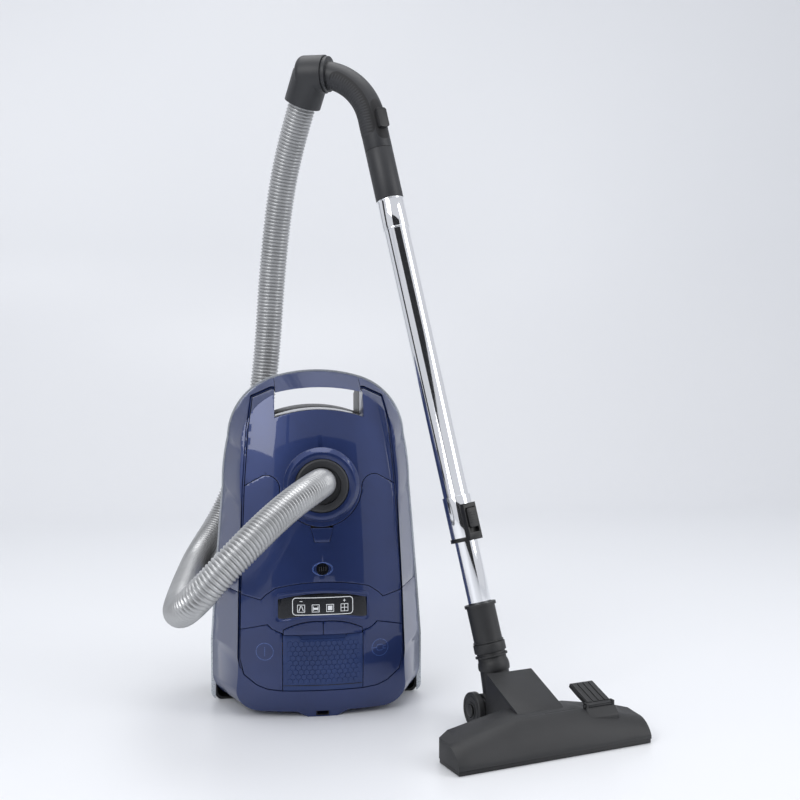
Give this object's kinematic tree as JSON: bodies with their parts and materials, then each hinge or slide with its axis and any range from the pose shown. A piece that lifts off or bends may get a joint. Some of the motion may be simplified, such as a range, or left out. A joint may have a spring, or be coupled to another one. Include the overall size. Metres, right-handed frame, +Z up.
{
  "type": "canister vacuum cleaner",
  "caption": "Canister vacuum cleaner parked on its rear end, with corrugated hose, bent handle, chromed telescopic wand and hinged floor head.",
  "frame": {"origin": "centre of the canister's standing face on the floor, below the middle of its lid", "axes": "+Z up along the parked canister towards its carry handle, -Y out of the lid, +X to the lid's right as seen from in front"},
  "size_m": [0.6224, 0.5073, 0.925],
  "materials": {
    "blue_shell": "gloss",
    "smoked_window": "gloss",
    "bright_window": "gloss",
    "light_trim": "satin",
    "black_plastic": "matte",
    "dark_grey_plastic": "matte",
    "tyre_rubber": "matte",
    "silver_hose": "gloss",
    "chromed_tube": "polished",
    "bright_steel": "satin",
    "filter_cloth": "matte",
    "bag_paper": "matte",
    "copper_winding": "satin",
    "cast_aluminium": "satin",
    "circuit_board": "satin",
    "brush_hair": "matte"
  },
  "bodies": {
    "canister": {"top_cover": "blue_shell", "inlet_collar": "blue_shell", "control_panel": "blue_shell", "display_window": "smoked_window", "side_panel_left": "blue_shell", "side_panel_right": "blue_shell", "handle_grip": "blue_shell", "rear_bumper": "blue_shell", "cord_outlet": "black_plastic", "trim_strip": "light_trim", "chassis": "black_plastic", "steel_pins": "bright_steel", "bulkhead": "black_plastic", "motor_filter": "filter_cloth", "bag_holder": "black_plastic", "dust_bag": "bag_paper", "motor_housing": "black_plastic", "motor_stator": "copper_winding", "reel_frame": "black_plastic", "power_switch": "black_plastic", "control_board": "circuit_board", "exhaust_filter": "filter_cloth", "screws": "bright_steel", "hose": "silver_hose", "hose_connector": "dark_grey_plastic", "hose_elbow": "dark_grey_plastic"},
    "bag_door": {"bag_door": "blue_shell", "bag_full_window": "bright_window"},
    "door_latch": {"door_latch": "blue_shell"},
    "power_pedal": {"power_pedal": "blue_shell"},
    "rewind_pedal": {"rewind_pedal": "blue_shell"},
    "brake_lever": {"brake_lever": "black_plastic"},
    "minus_button": {"minus_button": "blue_shell"},
    "plus_button": {"plus_button": "blue_shell"},
    "exhaust_cover": {"exhaust_cover": "blue_shell"},
    "wheel_left": {"wheel_hub_left": "black_plastic", "wheel_tyre_left": "tyre_rubber"},
    "wheel_right": {"wheel_hub_right": "black_plastic", "wheel_tyre_right": "tyre_rubber"},
    "castor_fork": {"castor_fork": "black_plastic"},
    "castor_wheel": {"castor_wheel": "black_plastic"},
    "motor_shaft": {"motor_rotor": "copper_winding", "impeller": "cast_aluminium"},
    "cord_drum": {"cord_drum": "black_plastic"},
    "wand": {"handle_shell": "dark_grey_plastic", "handle_tube": "dark_grey_plastic", "outer_tube": "chromed_tube", "lock_collar": "black_plastic"},
    "suction_slider": {"suction_slider": "black_plastic"},
    "lock_button": {"lock_button": "black_plastic"},
    "wand_extension": {"inner_tube": "chromed_tube", "neck_tube": "dark_grey_plastic"},
    "neck_yoke": {"neck_yoke": "dark_grey_plastic"},
    "floor_head": {"head_housing": "dark_grey_plastic", "head_sole": "black_plastic", "head_pins": "bright_steel"},
    "head_wheel_left": {"head_wheel_left": "dark_grey_plastic"},
    "head_wheel_right": {"head_wheel_right": "dark_grey_plastic"},
    "head_pedal": {"head_pedal": "dark_grey_plastic"},
    "brush_strip": {"brush_strip": "brush_hair"}
  },
  "joints": [
    {"name": "bag_door_hinge", "type": "hinge", "parent": "canister", "child": "bag_door", "pos_m": [0, -0.068, 0.15], "axis": [1, 0, 0], "range_deg": [0, 70]},
    {"name": "door_latch_press", "type": "hinge", "parent": "bag_door", "child": "door_latch", "pos_m": [0, -0.088, 0.243], "axis": [1, 0, 0], "range_deg": [0, 8], "stiffness_Nm_per_rad": 0.8},
    {"name": "power_pedal_press", "type": "hinge", "parent": "canister", "child": "power_pedal", "pos_m": [-0.084, -0.072, 0.119], "axis": [1, 0, 0], "range_deg": [0, 3], "stiffness_Nm_per_rad": 6},
    {"name": "rewind_pedal_press", "type": "hinge", "parent": "canister", "child": "rewind_pedal", "pos_m": [0.084, -0.072, 0.119], "axis": [1, 0, 0], "range_deg": [0, 3], "stiffness_Nm_per_rad": 6},
    {"name": "brake_lever_turn", "type": "hinge", "parent": "canister", "child": "brake_lever", "pos_m": [0.078, -0.046, 0.064], "axis": [1, 0, 0], "range_deg": [0, 9]},
    {"name": "minus_button_press", "type": "slide", "parent": "canister", "child": "minus_button", "axis": [0, 1, 0], "range_m": [0, 0.0015], "stiffness_N_per_m": 600},
    {"name": "plus_button_press", "type": "slide", "parent": "canister", "child": "plus_button", "axis": [0, 1, 0], "range_m": [0, 0.0015], "stiffness_N_per_m": 600},
    {"name": "exhaust_cover_hinge", "type": "hinge", "parent": "canister", "child": "exhaust_cover", "pos_m": [0, -0.094, 0.041], "axis": [1, 0, 0], "range_deg": [0, 60]},
    {"name": "wheel_left_spin", "type": "hinge", "parent": "canister", "child": "wheel_left", "pos_m": [-0.124, 0.064, 0.084], "axis": [1, 0, 0], "continuous": true},
    {"name": "wheel_right_spin", "type": "hinge", "parent": "canister", "child": "wheel_right", "pos_m": [0.124, 0.064, 0.084], "axis": [1, 0, 0], "continuous": true},
    {"name": "castor_swivel", "type": "hinge", "parent": "canister", "child": "castor_fork", "pos_m": [0, 0.09, 0.36], "axis": [0, 1, 0], "continuous": true},
    {"name": "castor_wheel_spin", "type": "hinge", "parent": "castor_fork", "child": "castor_wheel", "pos_m": [0, 0.094, 0.348], "axis": [1, 0, 0], "continuous": true},
    {"name": "motor_spin", "type": "hinge", "parent": "canister", "child": "motor_shaft", "pos_m": [-0.05, 0.004, 0.062], "axis": [0, 0, 1], "continuous": true},
    {"name": "cord_drum_spin", "type": "hinge", "parent": "canister", "child": "cord_drum", "pos_m": [0.06, -0.014, 0.098], "axis": [0, 1, 0], "continuous": true},
    {"name": "handle_swivel", "type": "hinge", "parent": "canister", "child": "wand", "pos_m": [-0.0021, 0.04701, 0.89768], "axis": [0.8952, -0.4441, -0.0375], "range_deg": [-2, 45]},
    {"name": "suction_slider_move", "type": "slide", "parent": "wand", "child": "suction_slider", "axis": [-0.1894, 0.185, 0.9643], "range_m": [0, 0.009]},
    {"name": "lock_button_press", "type": "slide", "parent": "wand", "child": "lock_button", "axis": [0.1894, -0.185, -0.9643], "range_m": [0, 0.006], "stiffness_N_per_m": 300},
    {"name": "wand_extend", "type": "slide", "parent": "wand", "child": "wand_extension", "axis": [0.1894, -0.185, -0.9643], "range_m": [-0.08, 0.18]},
    {"name": "neck_turn", "type": "hinge", "parent": "wand_extension", "child": "neck_yoke", "pos_m": [0.22729, -0.14391, 0.07807], "axis": [-0.1162, 0.1067, 0.9875], "range_deg": [-45, 45]},
    {"name": "head_tilt", "type": "hinge", "parent": "neck_yoke", "child": "floor_head", "pos_m": [0.23365, -0.14975, 0.024], "axis": [0.9583, 0.2857, 0], "range_deg": [0, 60]},
    {"name": "head_wheel_left_spin", "type": "hinge", "parent": "floor_head", "child": "head_wheel_left", "pos_m": [0.23365, -0.14975, 0.024], "axis": [0.9583, 0.2857, 0], "continuous": true},
    {"name": "head_wheel_right_spin", "type": "hinge", "parent": "floor_head", "child": "head_wheel_right", "pos_m": [0.23365, -0.14975, 0.024], "axis": [0.9583, 0.2857, 0], "continuous": true},
    {"name": "head_pedal_press", "type": "hinge", "parent": "floor_head", "child": "head_pedal", "pos_m": [0.26679, -0.26092, 0.0492], "axis": [-0.9583, -0.2857, 0], "range_deg": [0, 10]},
    {"name": "brush_strip_drop", "type": "slide", "parent": "floor_head", "child": "brush_strip", "axis": [0, 0, -1], "range_m": [0, 0.006]}
  ],
  "couplings": [
    {"joint": "brake_lever_turn", "follows": "rewind_pedal_press", "ratio": 3},
    {"joint": "head_pedal_press", "follows": "brush_strip_drop", "rad_per_m": 29}
  ]
}
